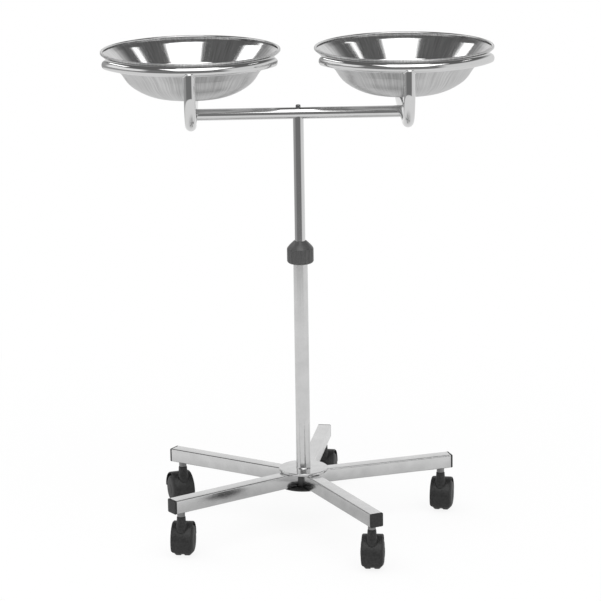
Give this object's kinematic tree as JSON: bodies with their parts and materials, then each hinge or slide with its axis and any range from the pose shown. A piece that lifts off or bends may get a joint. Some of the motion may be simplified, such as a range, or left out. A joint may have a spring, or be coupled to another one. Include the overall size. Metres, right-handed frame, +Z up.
{
  "type": "basin stand",
  "caption": "Mobile clinic stand that carries lift-out basins on a crossbar above a height-adjustable, clamped mast, with a legged base on swivel casters.",
  "frame": {"origin": "on the floor, under the column's axis", "axes": "+Z up along the column, +X along the crossbar to the right-hand bowl, -Y to the front that the picture shows"},
  "size_m": [0.699, 0.5846, 0.8977],
  "materials": {
    "polished_steel": "polished",
    "satin_steel": "satin, brushed",
    "zinc_steel": "zinc plated",
    "black_nylon": "fine grain",
    "black_rubber": "matt",
    "dark_grey_nylon": "fine grain",
    "white_nylon": "plain"
  },
  "bodies": {
    "base": {"hub_core": "polished_steel", "hub_top_plate": "polished_steel", "base_cap": "black_nylon", "outer_column": "polished_steel", "clamp_collet": "white_nylon", "leg_front": "polished_steel", "leg_right": "polished_steel", "leg_rear_right": "polished_steel", "leg_rear_left": "polished_steel", "leg_left": "polished_steel", "leg_cap_front": "black_nylon", "leg_cap_right": "black_nylon", "leg_cap_rear_right": "black_nylon", "leg_cap_rear_left": "black_nylon", "leg_cap_left": "black_nylon", "caster_socket_front": "zinc_steel", "caster_socket_right": "zinc_steel", "caster_socket_rear_right": "zinc_steel", "caster_socket_rear_left": "zinc_steel", "caster_socket_left": "zinc_steel", "caster_stem_front": "zinc_steel", "caster_stem_right": "zinc_steel", "caster_stem_rear_right": "zinc_steel", "caster_stem_rear_left": "zinc_steel", "caster_stem_left": "zinc_steel"},
    "collar": {"clamp_collar": "dark_grey_nylon"},
    "guide": {"mast_guide": "white_nylon"},
    "mast": {"mast_tube": "polished_steel", "mast_plug": "zinc_steel", "bar_bolt": "zinc_steel", "crossbar": "polished_steel", "hoop_left": "polished_steel", "hoop_right": "polished_steel", "bowl_rest_left_front": "polished_steel", "bowl_rest_left_back": "polished_steel", "bowl_rest_right_front": "polished_steel", "bowl_rest_right_back": "polished_steel"},
    "basin_left": {"bowl_left": "satin_steel"},
    "basin_right": {"bowl_right": "satin_steel"},
    "caster_front": {"caster_housing_front": "black_nylon", "caster_axle_front": "zinc_steel"},
    "wheel_left_front": {"caster_wheel_left_front": "black_rubber"},
    "wheel_right_front": {"caster_wheel_right_front": "black_rubber"},
    "caster_right": {"caster_housing_right": "black_nylon", "caster_axle_right": "zinc_steel"},
    "wheel_left_right": {"caster_wheel_left_right": "black_rubber"},
    "wheel_right_right": {"caster_wheel_right_right": "black_rubber"},
    "caster_rear_right": {"caster_housing_rear_right": "black_nylon", "caster_axle_rear_right": "zinc_steel"},
    "wheel_left_rear_right": {"caster_wheel_left_rear_right": "black_rubber"},
    "wheel_right_rear_right": {"caster_wheel_right_rear_right": "black_rubber"},
    "caster_rear_left": {"caster_housing_rear_left": "black_nylon", "caster_axle_rear_left": "zinc_steel"},
    "wheel_left_rear_left": {"caster_wheel_left_rear_left": "black_rubber"},
    "wheel_right_rear_left": {"caster_wheel_right_rear_left": "black_rubber"},
    "caster_left": {"caster_housing_left": "black_nylon", "caster_axle_left": "zinc_steel"},
    "wheel_left_left": {"caster_wheel_left_left": "black_rubber"},
    "wheel_right_left": {"caster_wheel_right_left": "black_rubber"}
  },
  "joints": [
    {"name": "mast_height", "type": "slide", "parent": "base", "child": "guide", "axis": [0, 0, 1], "range_m": [-0.2, 0.14]},
    {"name": "mast_swivel", "type": "hinge", "parent": "guide", "child": "mast", "pos_m": [0, 0, 0.5], "axis": [0, 0, 1], "continuous": true},
    {"name": "collar_turn", "type": "hinge", "parent": "base", "child": "collar", "pos_m": [0, 0, 0.505], "axis": [0, 0, 1], "range_deg": [0, 300]},
    {"name": "basin_left_lift", "type": "slide", "parent": "mast", "child": "basin_left", "axis": [0, 0, 1], "range_m": [0, 0.15]},
    {"name": "basin_right_lift", "type": "slide", "parent": "mast", "child": "basin_right", "axis": [0, 0, 1], "range_m": [0, 0.15]},
    {"name": "caster_swivel_front", "type": "hinge", "parent": "base", "child": "caster_front", "pos_m": [0.11411, -0.2436, 0], "axis": [0, 0, 1], "continuous": true},
    {"name": "wheel_roll_left_front", "type": "hinge", "parent": "caster_front", "child": "wheel_left_front", "pos_m": [0.11599, -0.2257, 0.03], "axis": [-0.9945, 0.1045, 0], "continuous": true},
    {"name": "wheel_roll_right_front", "type": "hinge", "parent": "caster_front", "child": "wheel_right_front", "pos_m": [0.11599, -0.2257, 0.03], "axis": [-0.9945, 0.1045, 0], "continuous": true},
    {"name": "caster_swivel_right", "type": "hinge", "parent": "base", "child": "caster_right", "pos_m": [0.25752, 0.07775, 0], "axis": [0, 0, 1], "continuous": true},
    {"name": "wheel_roll_left_right", "type": "hinge", "parent": "caster_right", "child": "wheel_left_right", "pos_m": [0.26126, 0.09536, 0.03], "axis": [-0.9781, 0.2079, 0], "continuous": true},
    {"name": "wheel_roll_right_right", "type": "hinge", "parent": "caster_right", "child": "wheel_right_right", "pos_m": [0.26126, 0.09536, 0.03], "axis": [-0.9781, 0.2079, 0], "continuous": true},
    {"name": "caster_swivel_rear_right", "type": "hinge", "parent": "base", "child": "caster_rear_right", "pos_m": [0.04394, 0.26539, 0], "axis": [0, 0, 1], "continuous": true},
    {"name": "wheel_roll_left_rear_right", "type": "hinge", "parent": "caster_rear_right", "child": "wheel_left_rear_right", "pos_m": [0.04768, 0.28299, 0.03], "axis": [-0.9781, 0.2079, 0], "continuous": true},
    {"name": "wheel_roll_right_rear_right", "type": "hinge", "parent": "caster_rear_right", "child": "wheel_right_rear_right", "pos_m": [0.04768, 0.28299, 0.03], "axis": [-0.9781, 0.2079, 0], "continuous": true},
    {"name": "caster_swivel_rear_left", "type": "hinge", "parent": "base", "child": "caster_rear_left", "pos_m": [-0.2256, 0.14651, 0], "axis": [0, 0, 1], "continuous": true},
    {"name": "wheel_roll_left_rear_left", "type": "hinge", "parent": "caster_rear_left", "child": "wheel_left_rear_left", "pos_m": [-0.23146, 0.16353, 0.03], "axis": [-0.9455, -0.3256, 0], "continuous": true},
    {"name": "wheel_roll_right_rear_left", "type": "hinge", "parent": "caster_rear_left", "child": "wheel_right_rear_left", "pos_m": [-0.23146, 0.16353, 0.03], "axis": [-0.9455, -0.3256, 0], "continuous": true},
    {"name": "caster_swivel_left", "type": "hinge", "parent": "base", "child": "caster_left", "pos_m": [-0.22327, -0.15003, 0], "axis": [0, 0, 1], "continuous": true},
    {"name": "wheel_roll_left_left", "type": "hinge", "parent": "caster_left", "child": "wheel_left_left", "pos_m": [-0.22077, -0.13221, 0.03], "axis": [-0.9903, 0.1392, 0], "continuous": true},
    {"name": "wheel_roll_right_left", "type": "hinge", "parent": "caster_left", "child": "wheel_right_left", "pos_m": [-0.22077, -0.13221, 0.03], "axis": [-0.9903, 0.1392, 0], "continuous": true}
  ]
}
